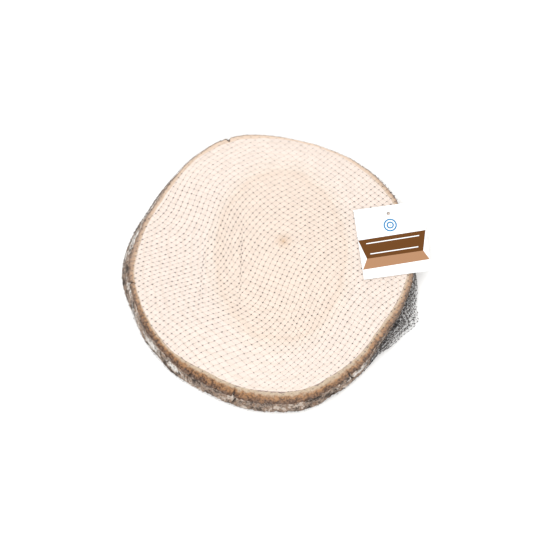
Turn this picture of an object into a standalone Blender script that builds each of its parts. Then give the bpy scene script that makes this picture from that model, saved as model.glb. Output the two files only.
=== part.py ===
"""A round slice of a willow log with its bark on, as a craft shop sells it.

The slice lies flat with its best cut face up. It is packed in a tight bag of plastic net,
which stands off the bark in one loose pocket and is gathered into a neck at the rim. A small
clip closes the neck, and a card tag lies over it on top of the net.

Metres, +Z up. The origin is under the middle of the slice, on the surface that it lies on.
"""

import math

import bmesh
import bpy
from mathutils import Matrix, Vector

MM = 0.001

# The slice: its thickness, and the gap that touching pieces keep between them.
SLICE_THICKNESS = 27.5 * MM
TOUCH_GAP = 0.3 * MM
EDGE_ROUND = 0.8 * MM
RIM_SEGMENTS = 72

# The log wasn't a true circle, and it leaned when it was sawn, so that the cut face and the
# underside have outlines of their own. Radii in millimetres, one each RIM_STEP degrees, counted
# from +X towards +Y.
RIM_STEP = 15
FACE_RADII = (
    136.7, 138.6, 139.2, 136.8, 133.1, 131.1, 132.7, 135.7,
    131.8, 126.5, 124.2, 127.6, 131.1, 128.9, 127.9, 127.1,
    125.2, 127.5, 130.8, 132.8, 129.7, 127.3, 125.9, 131.5,
)
UNDERSIDE_RADII = (
    135.5, 138.0, 139.2, 137.5, 135.0, 134.5, 137.0, 141.0,
    138.0, 133.5, 131.8, 135.8, 137.5, 131.9, 130.3, 128.7,
    126.4, 127.9, 130.4, 132.6, 129.4, 127.0, 124.4, 129.3,
)

# The net bag: a skin as thick as its knots. Its loose pocket stands out from the bark by these
# reaches, in millimetres, one each POCKET_STEP degrees from POCKET_START.
NET_THICKNESS = 0.6 * MM
POCKET_START = -48
POCKET_STEP = 6
POCKET_REACHES = (0.0, 1.5, 4.0, 11.0, 13.5, 19.5, 11.0, 7.5, 3.0, 0.0)
POCKET_HEIGHT = 9.0 * MM

# The neck where the net is gathered, the clip round it, and the tuft of net past the clip.
NECK_BEARING = 12.0
NECK_HEIGHT = 14.0 * MM
NECK_RADIUS = 2.5 * MM
NECK_LENGTH = 7.5 * MM
NECK_ROOT = 2.0 * MM
NECK_BORE_RADIUS = 0.8 * MM
NECK_SEGMENTS = 16
TUFT_RADIUS = 4.0 * MM
TUFT_LENGTH = 2.5 * MM
CLIP_WIDTH = 3.0 * MM
CLIP_WALL = 1.0 * MM
CLIP_START = 3.5 * MM

# The card tag, turned a little, with its punched hole near the top edge.
TAG_WIDTH = 64.0 * MM
TAG_HEIGHT = 68.6 * MM
TAG_THICKNESS = 0.5 * MM
TAG_CENTRE = (116.6 * MM, 28.7 * MM)
TAG_TURN = 8.1
TAG_HOLE_RADIUS = 1.75 * MM
TAG_HOLE_FROM_TOP = 7.8 * MM

# Heights that follow from those.
SLICE_BOTTOM = NET_THICKNESS + TOUCH_GAP
SLICE_TOP = SLICE_BOTTOM + SLICE_THICKNESS
NET_TOP = SLICE_TOP + TOUCH_GAP + NET_THICKNESS
TAG_BOTTOM = NET_TOP + TOUCH_GAP


def clear_scene():
    for item in list(bpy.data.objects):
        bpy.data.objects.remove(item, do_unlink=True)


def smooth_between(before, start, end, after, share):
    """A Catmull-Rom curve from start to end, with its slopes from the values on each side."""
    square, cube = share * share, share * share * share
    return 0.5 * (
        2 * start
        + (end - before) * share
        + (2 * before - 5 * start + 4 * end - after) * square
        + (3 * start - before - 3 * end + after) * cube
    )


def read_round(radii, bearing):
    """A radius in metres from a table that goes all the way round."""
    place = (bearing % 360) / RIM_STEP
    index = int(place)
    near = [radii[(index + offset) % len(radii)] for offset in (-1, 0, 1, 2)]
    return smooth_between(*near, place - index) * MM


def pocket_reach(bearing):
    """How far the net stands out from the bark at this bearing, in metres."""
    place = ((bearing - POCKET_START) % 360) / POCKET_STEP
    index = int(place)
    last = len(POCKET_REACHES) - 1
    if index >= last:
        return 0.0
    near = [POCKET_REACHES[min(max(index + offset, 0), last)] for offset in (-1, 0, 1, 2)]
    return max(0.0, smooth_between(*near, place - index)) * MM


def slice_radius(bearing, height):
    """The bark's surface, which runs straight from the underside's outline to the face's."""
    share = min(max((height - SLICE_BOTTOM) / SLICE_THICKNESS, 0.0), 1.0)
    low, high = read_round(UNDERSIDE_RADII, bearing), read_round(FACE_RADII, bearing)
    return low + (high - low) * share


def new_object(name, bm):
    mesh = bpy.data.meshes.new(name)
    bmesh.ops.recalc_face_normals(bm, faces=bm.faces[:])
    bm.to_mesh(mesh)
    bm.free()
    made = bpy.data.objects.new(name, mesh)
    bpy.context.collection.objects.link(made)
    return made


def extrude_cap(bm, cap, is_first):
    """The new cap. The first cap stays as the solid's base, and a later one would be inside it."""
    grown = bmesh.ops.extrude_face_region(bm, geom=[cap])["geom"]
    if not is_first:
        bmesh.ops.delete(bm, geom=[cap], context="FACES_ONLY")
    return next(item for item in grown if isinstance(item, bmesh.types.BMFace))


def grow_round(name, levels):
    """A solid grown upwards from a disc. Each level is a height and what it adds to the bark."""
    bm = bmesh.new()
    bmesh.ops.create_circle(bm, cap_ends=True, segments=RIM_SEGMENTS, radius=1.0)
    top = next(iter(bm.faces))
    for number, (height, outset) in enumerate(levels):
        if number:
            top = extrude_cap(bm, top, number == 1)
        for vertex in top.verts:
            bearing = math.degrees(math.atan2(vertex.co.y, vertex.co.x))
            radius = slice_radius(bearing, height) + outset(bearing)
            vertex.co = Vector((radius, 0, height))
            vertex.co.rotate(Matrix.Rotation(math.radians(bearing), 3, "Z"))
    return new_object(name, bm)


def even(outset):
    return lambda bearing: outset


def net_levels(stand_off, pocket_wall):
    """The levels of one side of the net: stand_off from the slice, with the pocket's outline."""

    def pocket(share):
        return lambda bearing: stand_off + max(0.0, pocket_reach(bearing) - pocket_wall) * share

    low, high = SLICE_BOTTOM - stand_off, SLICE_TOP + stand_off
    return (
        (low, even(stand_off - EDGE_ROUND)),
        (low + EDGE_ROUND, even(stand_off)),
        (POCKET_HEIGHT, pocket(1.0)),
        ((POCKET_HEIGHT + high) / 2, pocket(0.45)),
        (high - EDGE_ROUND, even(stand_off)),
        (high, even(stand_off - EDGE_ROUND)),
    )


def along_neck(name, start, stretches):
    """A round solid along the neck, from start past the rim. A stretch is (length, end radius)."""
    bm = bmesh.new()
    radius = stretches[0][1]
    bmesh.ops.create_circle(bm, cap_ends=True, segments=NECK_SEGMENTS, radius=radius)
    top = next(iter(bm.faces))
    height = 0.0
    for number, (length, radius) in enumerate(stretches):
        top = extrude_cap(bm, top, number == 0)
        height += length
        for vertex in top.verts:
            flat = Vector((vertex.co.x, vertex.co.y, 0)).normalized() * radius
            vertex.co = flat + Vector((0, 0, height))
    outwards = Matrix.Rotation(math.radians(NECK_BEARING), 4, "Z") @ Matrix.Rotation(
        math.radians(90), 4, "Y"
    )
    rim = slice_radius(NECK_BEARING, NECK_HEIGHT) + TOUCH_GAP + NET_THICKNESS
    place = Matrix.Translation((0, 0, NECK_HEIGHT)) @ outwards
    bmesh.ops.transform(bm, matrix=place @ Matrix.Translation((0, 0, rim + start)), verts=bm.verts)
    return new_object(name, bm)


def combine(target, guide, operation):
    """A live Boolean with a guide, which is hidden and isn't a piece."""
    guide.hide_render = True
    guide.display_type = "WIRE"
    cut = target.modifiers.new(f"{operation.lower()} {guide.name}", "BOOLEAN")
    cut.operation = operation
    cut.solver = "EXACT"
    cut.object = guide


def finish(item, color, roughness):
    material = bpy.data.materials.new(item.name)
    material.use_nodes = True
    surface = material.node_tree.nodes["Principled BSDF"]
    surface.inputs["Base Color"].default_value = (*color, 1)
    surface.inputs["Roughness"].default_value = roughness
    surface.inputs["Metallic"].default_value = 0.0
    item.data.materials.append(material)
    item.data.shade_smooth()
    item.data.set_sharp_from_angle(angle=math.radians(35))


def make_wood_slice():
    levels = (
        (SLICE_BOTTOM, even(-EDGE_ROUND)),
        (SLICE_BOTTOM + EDGE_ROUND, even(0)),
        (SLICE_TOP - EDGE_ROUND, even(0)),
        (SLICE_TOP, even(-EDGE_ROUND)),
    )
    piece = grow_round("wood_slice", levels)
    finish(piece, (0.88, 0.75, 0.62), 0.75)


def make_net_bag():
    piece = grow_round("net_bag", net_levels(TOUCH_GAP + NET_THICKNESS, 0.0))
    neck = along_neck(
        "neck_guide",
        -NECK_ROOT,
        ((NECK_ROOT + NECK_LENGTH, NECK_RADIUS), (TUFT_LENGTH, TUFT_RADIUS)),
    )
    inside = grow_round("inside_guide", net_levels(TOUCH_GAP, NET_THICKNESS))
    bore_length = 2 * NECK_ROOT + NECK_LENGTH + 2 * TUFT_LENGTH
    bore = along_neck("bore_guide", -NECK_ROOT, ((bore_length, NECK_BORE_RADIUS),))
    combine(piece, neck, "UNION")
    combine(piece, inside, "DIFFERENCE")
    combine(piece, bore, "DIFFERENCE")
    finish(piece, (0.02, 0.018, 0.018), 0.4)


def make_neck_clip():
    inner = NECK_RADIUS + TOUCH_GAP
    outer = inner + CLIP_WALL
    piece = along_neck("neck_clip", CLIP_START, ((CLIP_WIDTH, outer),))
    hole = along_neck("clip_hole_guide", CLIP_START - CLIP_WIDTH, ((3 * CLIP_WIDTH, inner),))
    combine(piece, hole, "DIFFERENCE")
    finish(piece, (0.55, 0.56, 0.57), 0.3)


def make_hang_tag():
    turn = Matrix.Rotation(math.radians(TAG_TURN), 4, "Z")
    middle = Vector((*TAG_CENTRE, TAG_BOTTOM + TAG_THICKNESS / 2))
    bm = bmesh.new()
    size = Matrix.Diagonal((TAG_WIDTH, TAG_HEIGHT, TAG_THICKNESS, 1))
    bmesh.ops.create_cube(bm, size=1.0, matrix=Matrix.Translation(middle) @ turn @ size)
    piece = new_object("hang_tag", bm)
    bm = bmesh.new()
    up_the_tag = Matrix.Translation((0, TAG_HEIGHT / 2 - TAG_HOLE_FROM_TOP, 0))
    bmesh.ops.create_cone(
        bm,
        cap_ends=True,
        segments=24,
        radius1=TAG_HOLE_RADIUS,
        radius2=TAG_HOLE_RADIUS,
        depth=4 * TAG_THICKNESS,
        matrix=Matrix.Translation(middle) @ turn @ up_the_tag,
    )
    combine(piece, new_object("tag_hole_guide", bm), "DIFFERENCE")
    finish(piece, (0.93, 0.93, 0.92), 0.5)


clear_scene()
make_wood_slice()
make_net_bag()
make_neck_clip()
make_hang_tag()
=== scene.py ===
# %% [markdown]
# # A netted willow slice
# A craft shop sells a round slice of a willow log with its bark on. The slice lies flat in a
# tight bag of thin plastic net, and a card tag lies over its rim. This notebook builds the looks
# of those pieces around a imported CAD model: the sawn faces and the bark, the net as real strands
# and knots, the small clip that closes it, and the tag. Lengths are in millimetres until a mesh
# is finished, because every real size here is a few millimetres. Only the camera, the lamp and the
# floor are set in metres.

import math

import bmesh
import bpy
import numpy as np
from mathutils import Matrix, Vector, noise


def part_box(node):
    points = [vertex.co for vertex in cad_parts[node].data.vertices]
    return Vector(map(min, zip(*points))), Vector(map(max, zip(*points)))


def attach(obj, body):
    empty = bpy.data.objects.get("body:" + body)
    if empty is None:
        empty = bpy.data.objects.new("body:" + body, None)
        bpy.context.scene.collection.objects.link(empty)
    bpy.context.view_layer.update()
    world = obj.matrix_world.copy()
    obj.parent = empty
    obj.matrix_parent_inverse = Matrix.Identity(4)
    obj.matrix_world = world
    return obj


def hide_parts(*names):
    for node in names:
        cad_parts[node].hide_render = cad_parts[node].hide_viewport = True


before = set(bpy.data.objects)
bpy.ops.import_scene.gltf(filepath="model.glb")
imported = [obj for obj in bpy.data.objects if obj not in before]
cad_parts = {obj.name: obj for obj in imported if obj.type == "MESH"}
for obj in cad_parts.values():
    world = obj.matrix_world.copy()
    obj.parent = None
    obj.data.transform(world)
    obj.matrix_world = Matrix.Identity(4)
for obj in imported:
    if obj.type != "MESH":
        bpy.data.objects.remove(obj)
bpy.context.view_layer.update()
MM = 0.001
print("CAD nodes:", ", ".join(sorted(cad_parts)))

# %% [markdown]
# ## Camera, light and floor
# The object is shown as in a catalogue: seen from high above its near edge, on a floor that is
# almost white, in light that comes from everywhere. A real studio would use several soft boxes and
# white walls. Here a white world does most of the lighting, because it is even by itself, and one
# large lamp overhead gives the bark and the net's strands a little shape.

# %% The camera
# A long lens from far away keeps the near and the far rim at nearly one scale.
VIEW_ELEVATION = 73.0
VIEW_DISTANCE = 5.20
VIEW_AIM = (6.5 * MM, -4.9 * MM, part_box("wood_slice")[1].z)
LENS_MM = 364.0
SENSOR_MM = 36.0


def add_object(name, data):
    """Puts a new object with this data into the scene, at the origin."""
    new_object = bpy.data.objects.new(name, data)
    bpy.context.collection.objects.link(new_object)
    return new_object


elevation = math.radians(VIEW_ELEVATION)
lens = bpy.data.cameras.new("catalogue view")
lens.lens = LENS_MM
lens.sensor_width = SENSOR_MM
camera = add_object("catalogue view", lens)
towards_camera = Vector((0, -math.cos(elevation), math.sin(elevation)))
camera.location = Vector(VIEW_AIM) + towards_camera * VIEW_DISTANCE
camera.rotation_euler = (math.radians(90 - VIEW_ELEVATION), 0, 0)
bpy.context.scene.camera = camera
bpy.context.scene.view_settings.view_transform = "Standard"
print("camera at", [round(value, 3) for value in camera.location])

# %% [markdown]
# Colours are written as sRGB hex codes, as a colour picker gives them, and Blender wants them
# linear, so one function turns them. Another adds a node with everything that it needs. The nodes
# could be drawn in the shader editor instead, but written out they can be read and changed here.

# %% The colour function and the node function
# A Mix node for colours has its factor at socket 0, its two colours at 6 and 7, and its result at
# output 2.


def linear(hex_code, alpha=1.0):
    """The linear colour that Blender wants, from an sRGB hex code."""
    shares = [int(hex_code[place : place + 2], 16) / 255 for place in (0, 2, 4)]
    curved = [s / 12.92 if s <= 0.04045 else ((s + 0.055) / 1.055) ** 2.4 for s in shares]
    return (*curved, alpha)


def add_node(tree, kind, inputs=None, stops=None, **settings):
    """Adds a node with its properties, its sockets' values or links, and a ramp's stops."""
    node = tree.nodes.new(kind)
    for name, value in settings.items():
        setattr(node, name, value)
    for name, value in (inputs or {}).items():
        if isinstance(value, bpy.types.NodeSocket):
            tree.links.new(value, node.inputs[name])
        else:
            node.inputs[name].default_value = value
    if stops:
        elements = node.color_ramp.elements
        while len(elements) < len(stops):
            elements.new(0.5)
        for element, (position, color) in zip(elements, stops):
            element.position = position
            element.color = linear(color) if isinstance(color, str) else (*[color] * 3, 1)
    return node


def new_material(name, roughness, **sockets):
    """A material, its node tree and its Principled shader, with the even values set on it."""
    material = bpy.data.materials.new(name)
    material.use_nodes = True
    shader = material.node_tree.nodes["Principled BSDF"]
    shader.inputs["Roughness"].default_value = roughness
    for socket, value in sockets.items():
        shader.inputs[socket.replace("_", " ")].default_value = value
    return material, material.node_tree, shader


def place_in_mm(tree):
    """The place on the object in mm, for a material's patterns."""
    where = add_node(tree, "ShaderNodeTexCoord").outputs["Object"]
    return add_node(
        tree, "ShaderNodeVectorMath", {0: where, "Scale": 1000.0}, operation="SCALE"
    ).outputs[0]


print("mid grey in linear light:", round(linear("808080")[0], 3))

# %% The world and the lamp
WORLD_STRENGTH = 1.2
LAMP_PLACE = (-0.15, -0.30, 1.6)
LAMP_WIDTH = 1.4
LAMP_WATTS = 15.0

world = bpy.data.worlds.new("white studio")
bpy.context.scene.world = world
world.use_nodes = True
world.node_tree.nodes["Background"].inputs["Color"].default_value = (1, 1, 1, 1)
world.node_tree.nodes["Background"].inputs["Strength"].default_value = WORLD_STRENGTH

lamp_data = bpy.data.lights.new("soft box", "AREA")
lamp_data.shape = "DISK"
lamp_data.size = LAMP_WIDTH
lamp_data.energy = LAMP_WATTS
lamp = add_object("soft box", lamp_data)
lamp.location = LAMP_PLACE
lamp.rotation_euler = (-lamp.location).to_track_quat("-Z", "Y").to_euler()
print("world strength", WORLD_STRENGTH, "and a lamp of", LAMP_WATTS, "W")

# %% The floor
FLOOR_HALF = 4.0


def finished_mesh(bm, name):
    """A mesh with the bmesh's shape. The bmesh is freed."""
    mesh = bpy.data.meshes.new(name)
    bm.to_mesh(mesh)
    bm.free()
    return mesh


floor_bm = bmesh.new()
bmesh.ops.create_grid(floor_bm, x_segments=1, y_segments=1, size=FLOOR_HALF)
floor_mesh = finished_mesh(floor_bm, "floor")
floor = add_object("floor", floor_mesh)
# Matt white background paper. It takes the light evenly and shows only a faint soft shadow.
floor_paint, _, floor_shader = new_material("matt white paper", 0.9)
floor_shader.inputs["Base Color"].default_value = linear("f7f7f6")
floor_mesh.materials.append(floor_paint)
print("floor:", 2 * FLOOR_HALF, "m wide")

# %% [markdown]
# ## The log's outline
# No log is a true circle, so every piece that follows the bark needs the log's own outline. The
# packed slice and net already hold it: their outermost points at a given height, read bearing by
# bearing. A short Fourier series through those points gives a smooth radius at any bearing,
# which straight lines between them wouldn't.

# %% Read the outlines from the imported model
OUTLINE_BEARINGS = 72
# A point counts as lying at a height when it is within this many mm of it.
OUTLINE_SLAB = 0.1
EDGE_ROUND = 0.8


def outline(node, height):
    """The Fourier series of a CAD piece's outermost radius in mm by bearing, near a height."""
    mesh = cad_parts[node].data
    points = np.empty(len(mesh.vertices) * 3)
    mesh.vertices.foreach_get("co", points)
    points = points.reshape(-1, 3) / MM
    near = points[np.abs(points[:, 2] - height) < OUTLINE_SLAB]
    turn = np.arctan2(near[:, 1], near[:, 0]) / (2 * np.pi) * OUTLINE_BEARINGS
    bins = np.rint(turn).astype(int) % OUTLINE_BEARINGS
    radii = np.zeros(OUTLINE_BEARINGS)
    np.maximum.at(radii, bins, np.hypot(near[:, 0], near[:, 1]))
    return np.fft.rfft(radii) / OUTLINE_BEARINGS


def radius_at(series, bearing):
    """The radius in mm at these bearings, in radians."""
    total = np.full(np.shape(bearing), series[0].real)
    for order in range(1, len(series) - 1):
        total = total + 2 * (series[order] * np.exp(1j * order * np.asarray(bearing))).real
    return total


def table_at(values, bearing):
    """A value at these bearings from a table that goes evenly round, joined smoothly."""
    series = np.fft.rfft(np.array(values, float)) / len(values)
    return radius_at(np.append(series[:-1], [series[-1] / 2, 0]), bearing)


SLICE_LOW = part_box("wood_slice")[0].z / MM
SLICE_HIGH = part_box("wood_slice")[1].z / MM
NET_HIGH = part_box("net_bag")[1].z / MM
POCKET_HEIGHT = 9.0
face_outline = outline("wood_slice", SLICE_HIGH - EDGE_ROUND)
underside_outline = outline("wood_slice", SLICE_LOW + EDGE_ROUND)
pocket_outline = outline("net_bag", POCKET_HEIGHT)
print("mean radius of the face:", round(face_outline[0].real, 1), "mm")


def side_radius(bearing, height):
    """The bark's radius in mm between the two outlines."""
    share = np.clip((height - SLICE_LOW) / (SLICE_HIGH - SLICE_LOW), 0, 1)
    low = radius_at(underside_outline, bearing)
    return low + (radius_at(face_outline, bearing) - low) * share


# %% [markdown]
# ## The slice
# The slice is one piece of wood with its bark on. A profile runs from the middle of the face,
# over the rim and back to the middle of the underside. Spinning it gives a closed disc whose
# rings can then be moved: the wood ends where the bark begins, the bark is thick on one side of
# the log and thin on the other, and its outside is fissured. A spin was chosen over a sculpted
# grid because its rings follow the bark exactly, so that its colours can follow it as well.

# %% Spin the blank disc
ROUND_STEPS = 720
WOOD_RINGS = 12
BARK_RINGS = 9
SIDE_RINGS = 32
WOOD_SHARE = 0.9


def disc_profile():
    """(share of the way out, share of the height) from the face's middle to the underside's."""
    wood = [WOOD_SHARE * ring / WOOD_RINGS for ring in range(WOOD_RINGS)]
    bark = [WOOD_SHARE + (1 - WOOD_SHARE) * ring / BARK_RINGS for ring in range(BARK_RINGS)]
    top = [(share, 1.0) for share in wood + bark]
    side = [(1.0, 1 - ring / SIDE_RINGS) for ring in range(SIDE_RINGS + 1)]
    bottom = [(share, 0.0) for share, _ in reversed(top)]
    return top + side + bottom


slice_bm = bmesh.new()
corners = [slice_bm.verts.new((share, 0, height)) for share, height in disc_profile()]
lines = [slice_bm.edges.new(pair) for pair in zip(corners, corners[1:])]
bmesh.ops.spin(
    slice_bm,
    geom=corners + lines,
    cent=(0, 0, 0),
    axis=(0, 0, 1),
    dvec=(0, 0, 0),
    angle=2 * math.pi,
    steps=ROUND_STEPS,
    use_merge=True,
    use_duplicate=False,
)
bmesh.ops.remove_doubles(slice_bm, verts=slice_bm.verts[:], dist=1e-6)
bmesh.ops.recalc_face_normals(slice_bm, faces=slice_bm.faces[:])
slice_mesh = finished_mesh(slice_bm, "willow_slice")
print("slice blank:", len(slice_mesh.vertices), "points,", len(slice_mesh.polygons), "faces")

# %% [markdown]
# The bark's thickness, its fissures and its cracks are set here. Willow bark splits along the
# trunk, which runs up the rim of a slice, so the noise that makes the ridges is stretched along
# Z. A bump in the material would be quicker, but the fissures notch the rim's outline, and a bump
# can't, so the points themselves are moved. Nearly all of it is cut inwards from the outline,
# because the net lies right over it.

# %% Bark thickness and the cracks
# Thickness in mm, one each 15 degrees from +X. The trunk's shaded side had the thin bark.
BARK_THICKNESS = (
    5.6, 4.8, 4.7, 4.3, 2.4, 2.1, 3.2, 4.8, 3.4, 3.8, 4.0, 5.6,
    6.4, 6.0, 7.2, 9.1, 11.2, 11.5, 13.2, 12.4, 11.2, 9.0, 8.0, 7.6,
)
# How much of the thickness is pale inner bark, the same way round.
INNER_BARK_SHARE = (
    0.40, 0.40, 0.45, 0.50, 0.55, 0.60, 0.55, 0.50, 0.40, 0.30, 0.25, 0.22,
    0.22, 0.24, 0.27, 0.31, 0.34, 0.37, 0.42, 0.46, 0.48, 0.45, 0.42, 0.40,
)
# (bearing in degrees, width in mm, depth in mm, how far down the rim it runs from 0 to 1)
CRACKS = (
    (106.6, 1.3, 3.2, 1.0),
    (178.4, 2.3, 1.3, 1.0),
    (185.0, 0.5, 4.0, 0.5),
    (222.5, 0.7, 2.0, 0.7),
    (234.0, 0.7, 2.2, 0.8),
    (255.3, 0.6, 7.0, 1.0),
    (287.5, 2.0, 1.8, 1.0),
    (307.5, 0.9, 3.0, 0.9),
)


print(len(CRACKS), "cracks, the deepest", max(crack[2] for crack in CRACKS), "mm")

# %% The bark's relief
# Layers of noise: (cell across in mm, cell along the trunk in mm, where in the noise).
BROAD_SWELLS = (22.0, 60.0, 3.1)
LUMPS = (7.0, 12.0, 31.9)
PLATES = (5.0, 16.0, 11.7)
GRIT = (1.7, 2.6, 23.3)
CAMBIUM_WAVES = (9.0, 40.0, 41.0)
CAMBIUM_RIPPLES = (2.6, 9.0, 57.0)
# The trunk leaned, so its fissures do: how far along X and Y for each mm up.
TRUNK_LEAN = (0.25, 0.15)
FISSURE_HALF = 0.13


def bark_noise(place, cell, height_cell, offset):
    """Noise from -1 to 1 whose cells are stretched along the trunk, for a place in mm."""
    return noise.noise(Vector((place[0] / cell + offset, place[1] / cell, place[2] / height_cell)))


def bark_relief(place):
    """How far the bark stands out from its outline here, in mm, and how deep in a fissure it is."""
    x, y, z = place
    lean = (x + TRUNK_LEAN[0] * z, y + TRUNK_LEAN[1] * z, z)
    swells = bark_noise(lean, *BROAD_SWELLS)
    lumps = bark_noise(lean, *LUMPS)
    plates = bark_noise(lean, *PLATES)
    grit = bark_noise(place, *GRIT)
    fissure = max(0.0, 1 - abs(plates) / FISSURE_HALF) * min(1.0, max(0.0, 0.6 + 2.5 * lumps))
    return 1.1 * swells + 0.9 * lumps + 0.7 * grit - 0.3 - 0.9 * fissure**1.5, fissure


print("relief at the middle of the right side:", round(bark_relief((131, 0, 15))[0], 2), "mm")

# %% Work out the bark's surface
# Thin bark is smoother: full relief at this thickness in mm, between these limits.
FULL_RELIEF_AT = 8.0
RELIEF_LIMITS = (0.35, 1.5)
# The net lies this close over the bark, so nothing stands out further, in mm.
HIGHEST_RELIEF = 0.25

points = np.empty(len(slice_mesh.vertices) * 3)
slice_mesh.vertices.foreach_get("co", points)
points = points.reshape(-1, 3)
out_share = np.hypot(points[:, 0], points[:, 1])
height_share = points[:, 2].copy()
bearing = np.arctan2(points[:, 1], points[:, 0])
height = SLICE_LOW + height_share * (SLICE_HIGH - SLICE_LOW)
outer = side_radius(bearing, height)
thickness = table_at(BARK_THICKNESS, bearing)

rim_places = np.stack([outer * np.cos(bearing), outer * np.sin(bearing), height], axis=1)
in_bark = out_share > WOOD_SHARE - 1e-4
relief = np.zeros(len(points))
fissures = np.zeros(len(points))
for index in np.flatnonzero(in_bark):
    relief[index], fissures[index] = bark_relief(rim_places[index])
strength = np.clip(thickness / FULL_RELIEF_AT, *RELIEF_LIMITS)
relief = np.minimum(relief * strength, HIGHEST_RELIEF)
print("relief from", round(relief.min(), 1), "to", round(relief.max(), 2), "mm")

# %% Cut the cracks and find the bark's two sides
CRACK_WANDER = 1.6
CRACK_WAVE = 5.0
# How fast a crack closes at its lower end, where a whole rim's height is 1.
CRACK_CLOSING = 6.0

crack_depth = np.zeros(len(points))
for crack_bearing, width, depth, run in CRACKS:
    wander = CRACK_WANDER * np.sin(height / CRACK_WAVE + crack_bearing)
    across = (np.angle(np.exp(1j * (bearing - math.radians(crack_bearing)))) * outer) - wander
    reach = np.clip((height_share - (1 - run)) * CRACK_CLOSING, 0, 1)
    crack_depth = np.maximum(crack_depth, depth * np.exp(-((across / width) ** 2)) * reach)

cambium_wobble = np.array(
    [
        0.5 * bark_noise(place, *CAMBIUM_WAVES) + 0.2 * bark_noise(place, *CAMBIUM_RIPPLES)
        for place in rim_places
    ]
)
bark_outside = outer + relief - crack_depth
bark_inside = outer - thickness + cambium_wobble
bark_share = np.clip((out_share - WOOD_SHARE) / (1 - WOOD_SHARE), 0, 1)
print("the inner bark wavers by up to", round(np.abs(cambium_wobble).max(), 1), "mm")

# %% Move the disc's points to their places
THINNEST_BARK = 0.4
# The saw tears cork, so the cut bark stands a little lower than the wood, in mm.
TORN_DEPTH = 0.25
TORN_UNEVEN = 0.35
TORN_CELL = 2.4
TORN_LIMITS = (0.05, 1.2)
# The torn surface starts at the cambium and is fully torn after this share of the bark.
TORN_FROM = 1 / 6
# What a fissure adds to the depth, and what share of a crack's depth opens on the face, in mm.
FISSURE_SINK = 0.35
CRACK_SINK = 0.5
DEEPEST_CRACK = 2.0
EDGE_SHARE = 0.12
EDGE_DROP = 0.6

edge = np.minimum(1 - bark_share, EDGE_SHARE) / EDGE_SHARE
radius = np.where(
    in_bark,
    bark_inside + (np.maximum(bark_outside, bark_inside + THINNEST_BARK) - bark_inside) * bark_share,
    bark_inside * out_share / WOOD_SHARE,
)
points[:, 0] = radius * np.cos(bearing)
points[:, 1] = radius * np.sin(bearing)
torn = np.array(
    [TORN_DEPTH + TORN_UNEVEN * noise.noise(Vector(place) / TORN_CELL) for place in rim_places]
)
on_face = (height_share > 0.999) | (height_share < 0.001)
sunk = np.where(
    on_face & in_bark,
    np.clip(torn + FISSURE_SINK * fissures * bark_share**3, *TORN_LIMITS)
    * np.clip(bark_share / TORN_FROM, 0, 1)
    + EDGE_DROP * (1 - edge)
    + np.minimum(crack_depth, DEEPEST_CRACK) * bark_share * CRACK_SINK,
    0,
)
points[:, 2] = height - np.where(height_share > 0.5, sunk, -sunk)
slice_mesh.vertices.foreach_set("co", (points * MM).ravel())
print("bark from", round(thickness.min(), 1), "to", round(thickness.max(), 1), "mm thick")

# %% [markdown]
# The colours follow the bark, so each point keeps what its place in the bark is: how far it is
# through the bark, how much painted shade it gets deep in its fissures and cracks, where the dead
# knot darkens it, how dry the cut is, and how much pale lichen grows there. Those go on the mesh as
# attributes that the materials read. A painted image could hold the same, but the mesh would have
# to be unwrapped for it, and it would blur close up.

# %% Where the bark's colours change
# Lichen: (bearing in degrees, half its width, share of the height, half its height, strength).
PALE_PATCHES = (
    (20, 14, 0.5, 0.6, 0.5),
    (75, 20, 0.4, 0.6, 0.7),
    (122, 24, 0.6, 0.9, 0.7),
    (150, 14, 0.55, 0.9, 0.75),
    (166, 9, 0.7, 0.8, 0.9),
    (172, 6, 0.2, 0.5, 0.8),
    (187, 7, 0.7, 0.5, 0.8),
    (196, 8, 0.3, 0.6, 0.75),
    (212, 9, 0.45, 0.45, 1.0),
    (226, 6, 0.55, 0.4, 1.0),
    (236, 4, 0.3, 0.3, 0.6),
    (300, 5, 0.5, 0.3, 0.6),
    (312, 9, 0.55, 0.35, 0.9),
    (326, 8, 0.4, 0.4, 0.8),
)
# The dark knot of a dead twig: bearing in degrees, height in mm, half width and half height.
KNOT_BEARING = 178.4
KNOT_AT = 20.0
KNOT_HALF = (4.4, 6.5)
# The knot darkens only the outer bark, past this share of its thickness.
KNOT_FROM = 0.75
# A crack's painted shade is at its darkest from this depth on, in mm.
FULL_CRACK_SHADE_DEPTH = 2.5
# How far the cut bark has dried to a pale tan, from 0 to 1, one each 15 degrees from +X.
DRY_BARK = (
    0.30, 0.35, 0.50, 0.75, 0.95, 1.0, 1.0, 0.95, 0.90, 0.80, 0.70, 0.50,
    0.35, 0.15, 0.05, 0.0, 0.0, 0.0, 0.05, 0.05, 0.05, 0.10, 0.15, 0.25,
)
print(len(PALE_PATCHES), "pale patches and one knot")

# %% Paint the bark's attributes


def set_attribute(mesh, name, values):
    """Keeps one number for each point of the mesh, for a material to read."""
    layer = mesh.attributes.new(name, "FLOAT", "POINT")
    layer.data.foreach_set("value", np.asarray(values, np.float32))


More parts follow.
